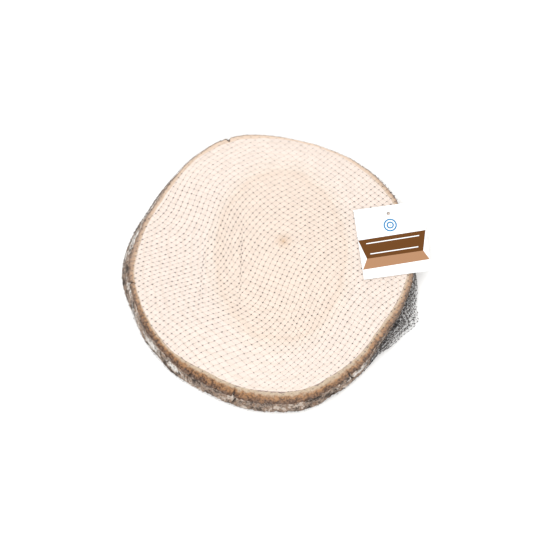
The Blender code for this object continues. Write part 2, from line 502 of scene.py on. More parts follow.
pale = np.zeros(len(points))
for patch_bearing, half, middle, half_height, amount in PALE_PATCHES:
    turn = np.degrees(np.angle(np.exp(1j * (bearing - math.radians(patch_bearing))))) / half
    rise = (height_share - middle) / half_height
    pale = np.maximum(pale, amount * np.exp(-(turn**2) - rise**2))
inner_share = table_at(INNER_BARK_SHARE, bearing)
band = np.where(
    bark_share < inner_share,
    0.5 * bark_share / inner_share,
    0.5 + 0.5 * (bark_share - inner_share) / (1 - inner_share),
)
set_attribute(slice_mesh, "bark_band", band)
# Painted shade: fissures and cracks are darkened by how deep they are, and on the sawn face the
# fissures get only a little of it. The dead knot's dark colour is its own.
on_rim = np.where(on_face & (bark_share < 0.999), 0.25 * bark_share**2, 1.0)
knot_across = np.angle(np.exp(1j * (bearing - math.radians(KNOT_BEARING)))) * outer
knot_shape = (knot_across / KNOT_HALF[0]) ** 2 + ((height - KNOT_AT) / KNOT_HALF[1]) ** 2
dead_knot = np.exp(-(knot_shape**2)) * (bark_share > KNOT_FROM)
crack_shade_and_knot = np.maximum(fissures * on_rim + crack_depth / FULL_CRACK_SHADE_DEPTH, dead_knot)
set_attribute(slice_mesh, "fissure", np.clip(crack_shade_and_knot, 0, 1))
set_attribute(slice_mesh, "dry_bark", np.clip(table_at(DRY_BARK, bearing), 0, 1))
set_attribute(slice_mesh, "pale_patch", pale)
print("attributes:", ", ".join(("bark_band", "fissure", "dry_bark", "pale_patch")))

# %% Sort the slice's faces by material
END_GRAIN, CUT_BARK, OUTER_BARK = range(3)

face_corners = np.empty(len(slice_mesh.loops), np.int32)
slice_mesh.loops.foreach_get("vertex_index", face_corners)
starts = np.empty(len(slice_mesh.polygons), np.int32)
slice_mesh.polygons.foreach_get("loop_start", starts)
sizes = np.diff(np.append(starts, len(face_corners)))
middle_out = np.add.reduceat(out_share[face_corners], starts) / sizes
middle_height = np.add.reduceat(height_share[face_corners], starts) / sizes
flat = (middle_height > 0.9999) | (middle_height < 0.0001)
sawn = np.where(middle_out > WOOD_SHARE, CUT_BARK, END_GRAIN)
surface = np.where(flat, sawn, OUTER_BARK).astype(np.int32)
slice_mesh.polygons.foreach_set("material_index", surface)
slice_mesh.shade_smooth()
slice_mesh.update()
willow_slice = add_object("willow_slice", slice_mesh)
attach(willow_slice, "root")
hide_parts("wood_slice")
print("faces of wood, cut bark and outer bark:", np.bincount(surface).tolist())

# %% [markdown]
# ## Sawn willow
# Willow is a pale, even, diffuse-porous wood. Its sawn and sanded end grain shows faint growth
# rings round an off-centre pith and a slightly darker heartwood. An image of wood would show the
# same, but it would hold its own shadows and sharpness, so the rings are worked out instead. They
# are drawn round a centre that slides from the pith to the middle of the log, so that they turn
# from circles at the pith to the log's own round at the bark.

# %% Sizes in the wood
PITH = (14.4, 28.2, 0.0)
PITH_RADIUS = 10.0
HEARTWOOD_MIDDLE = (12.0, 14.0, 0.0)
HEARTWOOD_SIZE = (62.0, 85.0)
HEARTWOOD_FADE = 1.25
LOG_RADIUS = 130.0
# Willow grows fast, so its growth rings are several millimetres apart.
RING_SPACING = 6.5
RING_STRENGTH = 0.22
RING_WAVE = 38.0
RING_SHIFT = 14.0
CLOUD_SIZE = 9.0
# The pores are 0.1 mm wide. The grain is drawn coarser than that, so that it shows.
GRAIN_SIZE = 0.7
print("growth rings:", round(LOG_RADIUS / RING_SPACING))

# %% Sawn end grain
# Willow end grain, bandsawn and lightly sanded. It is dry and open, so it gives the eye a soft,
# creamy white with hardly any shine.
end_grain, tree, shader = new_material("sawn willow end grain", 0.72, Specular_IOR_Level=0.25)
place = place_in_mm(tree)
level = add_node(
    tree, "ShaderNodeVectorMath", {0: place, 1: (1, 1, 0)}, operation="MULTIPLY"
).outputs[0]
far = add_node(tree, "ShaderNodeVectorMath", {0: level}, operation="LENGTH").outputs["Value"]
slide = add_node(
    tree, "ShaderNodeMapRange", {"Value": far, "From Max": LOG_RADIUS, "To Min": 1.0, "To Max": 0.0}
).outputs[0]
ring_centre = add_node(
    tree, "ShaderNodeVectorMath", {0: PITH, "Scale": slide}, operation="SCALE"
).outputs[0]
print("end grain, its places:", len(tree.nodes), "nodes")

# %% The growth rings
from_centre = add_node(
    tree, "ShaderNodeVectorMath", {0: level, 1: ring_centre}, operation="SUBTRACT"
).outputs[0]
ring_radius = add_node(
    tree, "ShaderNodeVectorMath", {0: from_centre}, operation="LENGTH"
).outputs["Value"]
slow = add_node(
    tree, "ShaderNodeTexNoise", {"Vector": level, "Scale": 1 / RING_WAVE, "Detail": 2.0}
).outputs["Fac"]
wavy_radius = add_node(
    tree, "ShaderNodeMath", {0: slow, 1: RING_SHIFT, 2: ring_radius}, operation="MULTIPLY_ADD"
).outputs[0]
ring_phase = add_node(
    tree, "ShaderNodeMath", {0: wavy_radius, 1: 2 * math.pi / RING_SPACING}, operation="MULTIPLY"
).outputs[0]
ring_wave = add_node(tree, "ShaderNodeMath", {0: ring_phase}, operation="SINE").outputs[0]
ring_line = add_node(
    tree, "ShaderNodeMapRange", {"Value": ring_wave, "From Min": 0.2}, interpolation_type="SMOOTHSTEP"
).outputs[0]
ring_amount = add_node(
    tree, "ShaderNodeMath", {0: ring_line, 1: RING_STRENGTH}, operation="MULTIPLY"
).outputs[0]
print("with its rings:", len(tree.nodes), "nodes")

# %% The heartwood
heart_place = add_node(
    tree,
    "ShaderNodeMapping",
    {
        "Vector": level,
        "Location": tuple(-m / s for m, s in zip(HEARTWOOD_MIDDLE, (*HEARTWOOD_SIZE, 1))),
        "Scale": (1 / HEARTWOOD_SIZE[0], 1 / HEARTWOOD_SIZE[1], 1),
    },
).outputs[0]
heart_radius = add_node(
    tree, "ShaderNodeVectorMath", {0: heart_place}, operation="LENGTH"
).outputs["Value"]
heart_edge = add_node(
    tree, "ShaderNodeMath", {0: slow, 1: 0.14, 2: heart_radius}, operation="MULTIPLY_ADD"
).outputs[0]
heart_share = add_node(
    tree, "ShaderNodeMapRange", {"Value": heart_edge, "From Max": HEARTWOOD_FADE}
).outputs[0]
heart_color = add_node(
    tree,
    "ShaderNodeValToRGB",
    {"Fac": heart_share},
    [(0.0, "d3c3b6"), (0.76, "d1c1b4"), (0.83, "cfbeb0"), (0.88, "d2c4b8"), (1.0, "d3c5bb")],
).outputs["Color"]
ringed = add_node(
    tree, "ShaderNodeMix", {0: ring_amount, 6: heart_color, 7: linear("c4b3a2")}, data_type="RGBA"
).outputs[2]
print("with its heartwood:", len(tree.nodes), "nodes")

# %% The wood's clouds, its pith and its grain
cloud = add_node(
    tree, "ShaderNodeTexNoise", {"Vector": place, "Scale": 1 / CLOUD_SIZE, "Detail": 4.0}
).outputs["Fac"]
cloud_tone = add_node(
    tree,
    "ShaderNodeMapRange",
    {"Value": cloud, "From Min": 0.3, "From Max": 0.7, "To Min": 0.955, "To Max": 1.045},
).outputs[0]
clouded = add_node(
    tree, "ShaderNodeVectorMath", {0: ringed, "Scale": cloud_tone}, operation="SCALE"
).outputs[0]
from_pith = add_node(
    tree, "ShaderNodeVectorMath", {0: level, 1: PITH}, operation="DISTANCE"
).outputs["Value"]
pith_share = add_node(
    tree, "ShaderNodeMath", {0: from_pith, 1: 1 / PITH_RADIUS}, operation="MULTIPLY"
).outputs[0]
pith_tone = add_node(
    tree,
    "ShaderNodeValToRGB",
    {"Fac": pith_share},
    [(0.0, 0.85), (0.1, 0.5), (0.42, 0.24), (1.0, 0.0)],
).outputs["Color"]
with_pith = add_node(
    tree, "ShaderNodeMix", {0: pith_tone, 6: clouded, 7: linear("b08d68")}, data_type="RGBA"
).outputs[2]
tree.links.new(with_pith, shader.inputs["Base Color"])
grain = add_node(
    tree, "ShaderNodeTexNoise", {"Vector": place, "Scale": 1 / GRAIN_SIZE, "Detail": 3.0}
).outputs["Fac"]
bump = add_node(
    tree, "ShaderNodeBump", {"Height": grain, "Strength": 0.25, "Distance": 0.12 * MM}
).outputs["Normal"]
tree.links.new(bump, shader.inputs["Normal"])
print("end grain:", len(tree.nodes), "nodes")

# %% [markdown]
# ## The bark
# The saw shows the bark in section: a thin dark cambium line, pale corky inner bark, and the
# orange-brown outer bark with darker specks. Outside, an old willow is grey and mottled, with dry
# white lichen in patches. Its fissures and cracks, on the rim and on the cut, get painted shade.
# The attributes say where each of these is, and noise makes their borders ragged. That was chosen
# over patterns by place alone, because the bands have to keep to the bark as it grows thick and thin.

# %% The bands of the cut bark
# Willow bark, sawn across with the log. It is cork and fibre, so it is matt, and its bands give
# the eye the ring that tells a slice from a board.
MOTTLE_SIZE = 4.5
SPECK_SIZE = 2.2
cut_bark, tree, shader = new_material("sawn willow bark", 0.85, Specular_IOR_Level=0.2)
place = place_in_mm(tree)
band = add_node(tree, "ShaderNodeAttribute", attribute_name="bark_band").outputs["Fac"]
mottle = add_node(
    tree, "ShaderNodeTexNoise", {"Vector": place, "Scale": 1 / MOTTLE_SIZE, "Detail": 5.0}
).outputs["Fac"]
ragged = add_node(
    tree, "ShaderNodeMath", {0: mottle, 1: 0.8, 2: band}, operation="MULTIPLY_ADD"
).outputs[0]
ragged_band = add_node(
    tree, "ShaderNodeMath", {0: ragged, 1: 0.40}, operation="SUBTRACT"
).outputs[0]
band_color = add_node(
    tree,
    "ShaderNodeValToRGB",
    {"Fac": ragged_band},
    [
        (0.0, "8b7a72"),
        (0.04, "b5a592"),
        (0.32, "b09c85"),
        (0.46, "9e8066"),
        (0.60, "99724f"),
        (0.80, "7e5f48"),
        (0.92, "70594a"),
        (1.0, "615046"),
    ],
).outputs["Color"]
print("cut bark, its bands:", len(tree.nodes), "nodes")

# %% Specks, dry cork and painted shade in the cracks of the cut bark
specks = add_node(
    tree,
    "ShaderNodeTexNoise",
    {"Vector": place, "Scale": 1 / SPECK_SIZE, "Detail": 4.0, "Roughness": 0.65},
).outputs["Fac"]
corky = add_node(
    tree, "ShaderNodeMapRange", {"Value": ragged, "From Min": 0.80, "From Max": 1.15, "To Min": 0.15}
).outputs[0]
speck_amount = add_node(
    tree, "ShaderNodeMapRange", {"Value": specks, "From Min": 0.46, "From Max": 0.56, "To Max": corky}
).outputs[0]
speckled = add_node(
    tree, "ShaderNodeMix", {0: speck_amount, 6: band_color, 7: linear("4c382c")}, data_type="RGBA"
).outputs[2]
dry = add_node(tree, "ShaderNodeAttribute", attribute_name="dry_bark").outputs["Fac"]
dry_inside = add_node(
    tree,
    "ShaderNodeMapRange",
    {"Value": band, "From Min": 0.72, "From Max": 0.98, "To Min": 0.88, "To Max": 0.30},
).outputs[0]
dry_amount = add_node(
    tree, "ShaderNodeMath", {0: dry, 1: dry_inside}, operation="MULTIPLY"
).outputs[0]
dried = add_node(
    tree, "ShaderNodeMix", {0: dry_amount, 6: speckled, 7: linear("d0bba9")}, data_type="RGBA"
).outputs[2]
# Painted shade: the cut bark is darkened in its cracks and fissures, more towards its outside, from
# the fissure attribute. That attribute also carries the dead knot's own dark colour.
fissure = add_node(tree, "ShaderNodeAttribute", attribute_name="fissure").outputs["Fac"]
deep = add_node(
    tree, "ShaderNodeMath", {0: fissure, 1: band}, operation="MULTIPLY"
).outputs[0]
crack_shade_and_knot_amount = add_node(
    tree, "ShaderNodeMapRange", {"Value": deep, "From Min": 0.25, "From Max": 0.9, "To Max": 0.85}
).outputs[0]
with_crack_shade_and_knot = add_node(
    tree, "ShaderNodeMix", {0: crack_shade_and_knot_amount, 6: dried, 7: linear("3a2b22")}, data_type="RGBA"
).outputs[2]
tree.links.new(with_crack_shade_and_knot, shader.inputs["Base Color"])
bump = add_node(
    tree, "ShaderNodeBump", {"Height": specks, "Strength": 0.5, "Distance": 0.4 * MM}
).outputs["Normal"]
tree.links.new(bump, shader.inputs["Normal"])
print("with its specks:", len(tree.nodes), "nodes")

# %% The flakes of the outer bark
# The log's own weathered bark, as it grew. It is rough and dead matt, and it gives the eye grey
# and brown flakes and white patches of lichen, with painted shade in its pits.
FLAKE_SIZE = 8.5
FLECK_SIZE = 3.0
# Flakes are longer along the trunk, so the noise is stretched there.
ALONG_TRUNK = 0.45
bark, tree, shader = new_material("weathered willow bark", 0.9, Specular_IOR_Level=0.2)
place = place_in_mm(tree)
streaked = add_node(
    tree, "ShaderNodeVectorMath", {0: place, 1: (1, 1, ALONG_TRUNK)}, operation="MULTIPLY"
).outputs[0]
flakes = add_node(
    tree,
    "ShaderNodeTexNoise",
    {"Vector": streaked, "Scale": 1 / FLAKE_SIZE, "Detail": 5.0, "Roughness": 0.62},
).outputs["Fac"]
bark_color = add_node(
    tree,
    "ShaderNodeValToRGB",
    {"Fac": flakes},
    [
        (0.32, "2e2723"),
        (0.42, "66564b"),
        (0.48, "9f8f82"),
        (0.53, "7f634e"),
        (0.60, "bdaea1"),
        (0.72, "c6bab0"),
    ],
).outputs["Color"]
print("outer bark, its flakes:", len(tree.nodes), "nodes")

# %% Lichen, and painted shade in the pits and fissures of the outer bark
lichen = add_node(tree, "ShaderNodeAttribute", attribute_name="pale_patch").outputs["Fac"]
flecks = add_node(
    tree,
    "ShaderNodeTexNoise",
    {"Vector": streaked, "Scale": 1 / FLECK_SIZE, "Detail": 5.0, "Roughness": 0.7},
).outputs["Fac"]
lichen_edge = add_node(
    tree, "ShaderNodeMath", {0: lichen, 1: 0.5, 2: flecks}, operation="MULTIPLY_ADD"
).outputs[0]
lichen_amount = add_node(
    tree, "ShaderNodeMapRange", {"Value": lichen_edge, "From Min": 0.80, "From Max": 0.94}
).outputs[0]
lichened = add_node(
    tree, "ShaderNodeMix", {0: lichen_amount, 6: bark_color, 7: linear("d6d1cb")}, data_type="RGBA"
).outputs[2]
# Painted shade: where the fleck noise is lowest, and so the bump is deepest, the colour is darkened
# as shade in the bark's pits.
pit_shade = add_node(
    tree, "ShaderNodeMapRange", {"Value": flecks, "From Min": 0.38, "From Max": 0.47, "To Min": 0.4}
).outputs[0]
pit_shaded = add_node(
    tree, "ShaderNodeVectorMath", {0: lichened, "Scale": pit_shade}, operation="SCALE"
).outputs[0]
# Painted shade: the fissures and cracks are darkened by how deep they are. The dead knot in the same
# attribute is the bark's own dark colour.
fissure = add_node(tree, "ShaderNodeAttribute", attribute_name="fissure").outputs["Fac"]
crack_shade_and_knot_amount = add_node(
    tree, "ShaderNodeMapRange", {"Value": fissure, "From Min": 0.2, "From Max": 0.9, "To Max": 0.9}
).outputs[0]
with_crack_shade_and_knot = add_node(
    tree, "ShaderNodeMix", {0: crack_shade_and_knot_amount, 6: pit_shaded, 7: linear("2e2620")}, data_type="RGBA"
).outputs[2]
tree.links.new(with_crack_shade_and_knot, shader.inputs["Base Color"])
bump = add_node(
    tree, "ShaderNodeBump", {"Height": flecks, "Strength": 0.7, "Distance": 0.6 * MM}
).outputs["Normal"]
tree.links.new(bump, shader.inputs["Normal"])
for material in (end_grain, cut_bark, bark):
    slice_mesh.materials.append(material)
print("with its lichen:", len(tree.nodes), "nodes")

# %% [markdown]
# ## The net
# An extruded net is two sets of plastic strands that cross and are welded where they cross, so
# the mesh is diamonds with a small knot at each corner. It could be a texture with holes, but
# from the side and against the white floor its strands have real depth, so each one is modelled.
# A place on the flat net is a point in millimetres. One function carries such a point over the
# face, round the rim and down the bark. Another carries it across the underside, and where the
# two meet, at the foot of the rim, they agree, so that each strand runs right round the slice.

# %% How the net comes down the rim
NET_GAP = 0.6
# The middles of the highest and lowest strands lie this far inside the net's box.
STRAND_HALF = 0.3
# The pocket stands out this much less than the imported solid, which holds its knots as well.
POCKET_INSET = 1.3
CORNER = 1.0


def pocket_reach(bearing):
    """How far the loose pocket stands out from the bark, in mm."""
    bark_there = side_radius(bearing, np.float64(POCKET_HEIGHT))
    return np.maximum(0.0, radius_at(pocket_outline, bearing) - bark_there - POCKET_INSET)


def side_path(bearing, down, share=1.0):
    """The net's radius and height in mm, this far down from the face's rim along the net."""
    reach = pocket_reach(bearing) * share
    top = radius_at(face_outline, bearing) + NET_GAP
    low = radius_at(underside_outline, bearing) + NET_GAP
    high_z = NET_HIGH - STRAND_HALF
    tip = side_radius(bearing, np.float64(POCKET_HEIGHT)) + NET_GAP + reach
    first = np.hypot(tip - top, high_z - POCKET_HEIGHT)
    second = np.hypot(tip - low, POCKET_HEIGHT - STRAND_HALF)
    one = np.clip(down / first, 0, 1)
    two = np.clip((down - first) / second, 0, 1)
    radius = top + (tip - top) * one + (low - tip) * two
    height = high_z + (POCKET_HEIGHT - high_z) * one + (STRAND_HALF - POCKET_HEIGHT) * two
    inward = np.minimum(down, 0)
    return radius + inward, height, first + second


def net_limit(bearing):
    """How far out on the flat net the foot of the rim is, at this bearing."""
    length = side_path(bearing, np.zeros(np.shape(bearing)))[2]
    return radius_at(face_outline, bearing) + NET_GAP + length


reaches = net_limit(np.linspace(0, 2 * np.pi, OUTLINE_BEARINGS, endpoint=False))
print("laid flat, a layer of the net is about", round(2 * reaches.mean()), "mm across")

# %% Carry the flat net onto the slice
# The ripples of a slack layer: how deep in mm, how many round the whole rim, how far down in mm.
RIPPLE_DEPTH = 0.9
RIPPLES_ROUND = 46
RIPPLE_DOWN = 4.0


def polar(flat):
    """The bearing of points on the flat net and how far they are past the face's rim, in mm."""
    bearing = np.arctan2(flat[:, 1], flat[:, 0])
    return bearing, np.hypot(flat[:, 0], flat[:, 1]) - radius_at(face_outline, bearing)


def standing(bearing, radius, height):
    """Points in mm from their bearing, radius and height."""
    return np.stack([radius * np.cos(bearing), radius * np.sin(bearing), height], axis=1)


def over_the_top(flat):
    """Carries points of the flat net over the face and down the rim."""
    bearing, past = polar(flat)
    down = past - NET_GAP
    rounded = [side_path(bearing, down + shift)[:2] for shift in (-CORNER, 0, CORNER)]
    radius = sum(item[0] for item in rounded) / 3
    height = sum(item[1] for item in rounded) / 3
    return standing(bearing, radius, height)


def inner_fold(share, wave):
    """A carry function for a layer that hangs inside the pocket, part of the way out."""

    def carry(flat):
        """Carries points of the flat net into this fold."""
        bearing, past = polar(flat)
        down = past - NET_GAP
        radius, height, _ = side_path(bearing, down, share)
        swell = np.clip(pocket_reach(bearing) / 10, 0, 1) * np.clip(down / 6, 0, 1)
        ripple = np.sin(bearing * RIPPLES_ROUND + wave) * np.sin(down / RIPPLE_DOWN + wave)
        return standing(bearing, radius + RIPPLE_DEPTH * ripple * swell, height)

    return carry


def across_the_underside(flat):
    """Carries the same points across the underside."""
    bearing = np.arctan2(flat[:, 1], flat[:, 0])
    low = radius_at(underside_outline, bearing) + NET_GAP
    share = np.hypot(flat[:, 0], flat[:, 1]) / net_limit(bearing)
    return standing(bearing, low * share, np.full(len(flat), STRAND_HALF))


middle_point = over_the_top(np.zeros((1, 2)))[0]
print("the net's middle lies at", [round(float(value), 1) for value in middle_point], "mm")


# %% [markdown]
# A real net is never even: it is pulled askew where the slice was pushed in, squeezed along the
# folds that it was packed with, and drawn together at its neck. An even one would look printed. A
# cloth simulation could pull it, but not to chosen places. So each pull is a small stretch and turn
# that fades away round its middle, and each crease draws the strands in towards a line.

# %% Where the net is pulled
NECK_BEARING = math.radians(12)
NECK_HEIGHT = 14.0
# How far the net is drawn towards its neck, as a share, and over what distance in mm.
NECK_PULL = 0.72
NECK_FADE = 9.0
# (x, y, how far it fades, turn in degrees, stretch along x, stretch along y)
PULLS = (
    (8, -8, 44, 22, 0.02, 0.00),
    (72, -60, 38, 16, 0.06, 0.06),
    (-70, 68, 36, 24, -0.05, -0.08),
    (-95, 0, 36, -9, 0.16, -0.20),
    (-42, -82, 36, -15, 0.22, 0.20),
    (15, 98, 32, -5, 0.04, -0.08),
)
# The small unevenness of a net that was drawn by machine: how far in mm, over what distance.
UNEVEN = 0.2
UNEVEN_WAVE = 11.0
# (x, y at its middle, half length, lean, how far it draws in)
CREASES = ((-25.5, 1, 46, 0.03, 3.3), (-62, -6, 32, 0.10, 3.6), (28, -62, 26, -0.35, 1.8))
CREASE_WIDTH = 4.0
print(len(PULLS), "pulls and", len(CREASES), "creases")

# %% Pull the flat net askew


def askew(even):
    """Moves points of an even net to where they lie on the pulled one."""
    wave = even * (2 * np.pi / UNEVEN_WAVE)
    flat = even + UNEVEN * np.sin(wave[:, ::-1] * (1.0, 1.27) + 0.6 * np.sin(0.37 * wave))
    for x, y, fade, turn, wide, tall in PULLS:
        away = even - (x, y)
        weight = np.exp(-(away**2).sum(axis=1) / (2 * fade**2))
        swing = math.radians(turn)
        flat[:, 0] += weight * (wide * away[:, 0] - swing * away[:, 1])
        flat[:, 1] += weight * (tall * away[:, 1] + swing * away[:, 0])
    for x, y, half, lean, draw in CREASES:
        across = flat[:, 0] - x - lean * (flat[:, 1] - y)
        along = (flat[:, 1] - y) / half
        weight = np.exp(-((across / CREASE_WIDTH) ** 2) - along**4)
        flat[:, 0] -= draw * across / CREASE_WIDTH * weight
    neck_far = radius_at(face_outline, NECK_BEARING) + NET_HIGH - NECK_HEIGHT
    neck = neck_far * np.array([math.cos(NECK_BEARING), math.sin(NECK_BEARING)])
    to_neck = neck - flat
    weight = NECK_PULL * np.exp(-(to_neck**2).sum(axis=1) / (2 * NECK_FADE**2))
    return flat + to_neck * weight[:, None]


moved = askew(np.zeros((1, 2)))[0]
print("the middle of the net is pulled", round(float(np.hypot(*moved)), 1), "mm aside")

# %% [markdown]
# The strands are curves with a thin bevel, and the knots are small stretched spheres. Each curve
# has a point at every knot and one between, and a bevel gives it its thickness, which grows in the
# loose pocket, where the net isn't stretched thin. A bevel of four sides is enough for a strand
# that is no thicker than a hair. Each knot is set square to the net and lengthened along it. There
# are thousands, and an operator call for each would take many minutes in a mesh that grows, so
# the operator makes one knot, and its points are copied to every crossing.

# %% The even net
PITCH = 4.75
STRAND_DIRECTIONS = (math.radians(41), math.radians(-38))
# The even net is laid out this far from its middle in mm, with room for the pulls to move it.
NET_SIZE = 185.0
LATTICE_ROOM = 1.6


def lattice():
    """Step numbers that cover the even net, and the step along each set of strands in mm."""
    most = int(NET_SIZE / PITCH * LATTICE_ROOM)
    first, second = (
        PITCH * np.array([math.cos(turn), math.sin(turn)]) for turn in STRAND_DIRECTIONS
    )
    return np.arange(-most, most + 1), first, second


across = PITCH * 2 * math.cos((STRAND_DIRECTIONS[0] - STRAND_DIRECTIONS[1]) / 2)
print("each diamond is", PITCH, "mm along its strands and", round(across, 1), "mm across")

# %% How bold the net is
# A real strand is 0.2 to 0.3 mm thick, and light shines through it. Drawn opaque, it has to be
# finer than that, or it would make the pale wood too dark.
STRAND_RADII = (0.048, 0.036)
# Half the sizes of a knot: along, across and up.
KNOT_SIZE = (0.86, 0.46, 0.30)
# (y of the boldest line, how far from it the net starts to thin, over how many mm, by how much)
THINNING = (-5.0, 65.0, 50.0, 0.38)
# On this side, from here in x and over this many mm, the net is loose and doesn't thin.
LOOSE_SIDE = (95.0, 20.0)
BOLDEST = 1.05
# It also thins by this share down the rim, over this many mm.
RIM_THINNING = 0.3
RIM_FADE = 4.0
# The net is all slack where the pocket stands out this far, and this far past the face's rim.
SLACK_REACH = 8.0
SLACK_PAST = 5.0
# What slack adds to a strand's radius in mm, and to a knot's size as a share.
SLACK_EXTRA = 0.05
SLACK_GROWTH = 0.3


def boldness(flat):
    """How thick the net is drawn: it thins towards the slice's far and near rims."""
    middle, start, over, most = THINNING
    away = np.clip((np.abs(flat[:, 1] - middle) - start) / over, 0, 1)
    tight = 1 - np.clip((flat[:, 0] - LOOSE_SIDE[0]) / LOOSE_SIDE[1], 0, 1)
    down = np.clip(polar(flat)[1] / RIM_FADE, 0, 1)
    return (BOLDEST - most * away * tight) * (1 - RIM_THINNING * down * tight)


def slack(flat):
    """0 where the net is stretched over the slice, up to 1 out in the pocket."""
    bearing, past = polar(flat)
    return np.clip(pocket_reach(bearing) / SLACK_REACH, 0, 1) * np.clip(past / SLACK_PAST, 0, 1)


def strand_radius(flat, thin):
    """The radius in mm along a strand that is this thin where it is stretched."""
    return thin * boldness(flat) + SLACK_EXTRA * slack(flat)


def knot_growth(flat):
    """How much larger or smaller than KNOT_SIZE a knot is."""
    return boldness(flat) * (1 + SLACK_GROWTH * slack(flat))


thickest = 2 * strand_radius(np.zeros((1, 2)), STRAND_RADII[0])[0]
print("strands in the middle:", round(float(thickest), 2), "mm thick")

# %% Lay the strands
# A shorter stretch, counted in points, would be a stub at the net's edge.
SHORTEST = 3


def runs_of(inside):
    """(start, end) of each unbroken run of True."""
    padded = np.concatenate([[False], inside, [False]]).astype(int)
    changes = np.flatnonzero(np.diff(padded))
    return zip(changes[::2], changes[1::2])


print("a strand that is whole has", len(list(runs_of(np.ones(9, bool)))), "run")


def strand_curve(name, carry, inside):
    """A curve with a spline for each stretch of strand that lies inside."""
    curve = bpy.data.curves.new(name, "CURVE")
    curve.dimensions = "3D"
    curve.bevel_depth = 1.0 * MM
    curve.bevel_resolution = 0
    curve.use_fill_caps = True
    steps, first, second = lattice()
    along = np.arange(steps[0] * 2, steps[-1] * 2 + 1) / 2
    families = ((first, second, STRAND_RADII[0]), (second, first, STRAND_RADII[1]))
    for forward, sideways, thin in families:
        for step in steps:
            flat = askew(step * sideways + along[:, None] * forward)
            for start, end in runs_of(inside(flat)):
                if end - start < SHORTEST:
                    continue
                stretch = flat[start:end]
                spline = curve.splines.new("POLY")
                spline.points.add(len(stretch) - 1)
                placed = np.pad(carry(stretch) * MM, ((0, 0), (0, 1)), constant_values=1)
                spline.points.foreach_set("co", placed.ravel())
                spline.points.foreach_set("radius", strand_radius(stretch, thin))
    return curve


# %% Set the knots
# How a knot leans from +X on the flat net, and how much larger or smaller chance makes it.
KNOT_LEAN = math.radians(24)
KNOT_RANGE = (0.72, 1.2)
KNOT_SEED = 5
# Knots are at least this high over the floor, and their slope is measured over this step, in mm.
LOWEST_KNOT = 0.02
SLOPE_STEP = 0.3

lump = bmesh.new()
bmesh.ops.create_uvsphere(lump, u_segments=4, v_segments=3, radius=1)
lump_points = np.array([vert.co for vert in lump.verts]) * KNOT_SIZE
lump_faces = [np.array([vert.index for vert in face.verts]) for face in lump.faces]
lump.free()
print("a knot has", len(lump_points), "points")


def knot_mesh(name, carry, inside):
    """A mesh with a knot wherever two strands cross inside."""
    steps, first, second = lattice()
    grid = np.stack(np.meshgrid(steps, steps), axis=-1).reshape(-1, 2)
    flat = askew(grid[:, :1] * first + grid[:, 1:] * second)
    flat = flat[inside(flat)]
    lean = np.array([math.cos(KNOT_LEAN), math.sin(KNOT_LEAN)])
    square = np.array([-lean[1], lean[0]])
    middle = carry(flat)
    forward = carry(flat + SLOPE_STEP * lean) - middle
    forward /= np.linalg.norm(forward, axis=1, keepdims=True)
    up = np.cross(forward, carry(flat + SLOPE_STEP * square) - middle)
    up /= np.linalg.norm(up, axis=1, keepdims=True)
    axes = np.stack([forward, np.cross(up, forward), up], axis=1)
    grown = knot_growth(flat) * np.random.default_rng(KNOT_SEED).uniform(*KNOT_RANGE, len(flat))
    placed = middle[:, None] + np.einsum("vk,nkc->nvc", lump_points, axes * grown[:, None, None])
    placed[:, :, 2] = np.maximum(placed[:, :, 2], LOWEST_KNOT)
    firsts = range(0, len(flat) * len(lump_points), len(lump_points))
    faces = [(face + first_point).tolist() for first_point in firsts for face in lump_faces]
    mesh = bpy.data.meshes.new(name)
    mesh.from_pydata((placed.reshape(-1, 3) * MM).tolist(), [], faces)
    return mesh


# %% Join strands and knots into a layer


def drawn_mesh(name, curve):
    """The mesh that a bevelled curve draws, without a material."""
    holder = add_object(name, curve)
    drawn = holder.evaluated_get(bpy.context.evaluated_depsgraph_get())
    mesh = bpy.data.meshes.new_from_object(drawn)
    bpy.data.objects.remove(holder, do_unlink=True)
    mesh.materials.clear()
    return mesh


def net_piece(name, carry, inside):
    """One layer of the net as a mesh object, strands and knots together."""
    mesh = drawn_mesh(name + " strands", strand_curve(name + " strands", carry, inside))
    bm = bmesh.new()
    bm.from_mesh(mesh)
    bm.from_mesh(knot_mesh(name + " knots", carry, inside))
    mesh.clear_geometry()
    bm.to_mesh(mesh)
    bm.free()
    mesh.shade_smooth()
    piece = add_object(name, mesh)
    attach(piece, "root")
    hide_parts("net_bag")
    mesh.calc_loop_triangles()
    print(name, len(mesh.loop_triangles), "triangles")
    return piece


# %% The two layers of the bag
# The layers pass each other by this much in mm at the foot of the rim, so no gap is left.
OVERLAP = 0.5


def within_bag(flat):
    """Whether points lie on the bag's flat net."""
    bearing = np.arctan2(flat[:, 1], flat[:, 0])
    return np.hypot(flat[:, 0], flat[:, 1]) <= net_limit(bearing) + OVERLAP


net_upper = net_piece("net_upper", over_the_top, within_bag)
net_lower = net_piece("net_lower", across_the_underside, within_bag)
print("the whole bag:", len(net_upper.data.vertices) + len(net_lower.data.vertices), "points")

# %% [markdown]
# The pocket is the bag's slack: net that wasn't pulled tight folds back on itself there, so three
# layers hang behind one another. One layer with bolder strands would be as dark, but from the side
# it would show no depth. The bag's mouth is gathered where a closed net has to end. Its strands
# draw together, pass through a metal clip and fan out in a short tuft, so they are curves again.

# %% The folds in the pocket
POCKET_BEARINGS = (math.radians(-49), math.radians(6))
# Each fold: how far out in the pocket it hangs, as a share, and where its ripples start.
OUTER_FOLD = (0.82, 0.6)
INNER_FOLD = (0.5, 2.1)
FOLD_START = 1.5
LEAST_REACH = 1.0


def within_pocket(flat):
    """Whether points lie where the net is slack enough to fold."""
    bearing, past = polar(flat)
    beside = (bearing > POCKET_BEARINGS[0]) & (bearing < POCKET_BEARINGS[1])
    return beside & (past > FOLD_START) & within_bag(flat) & (pocket_reach(bearing) > LEAST_REACH)


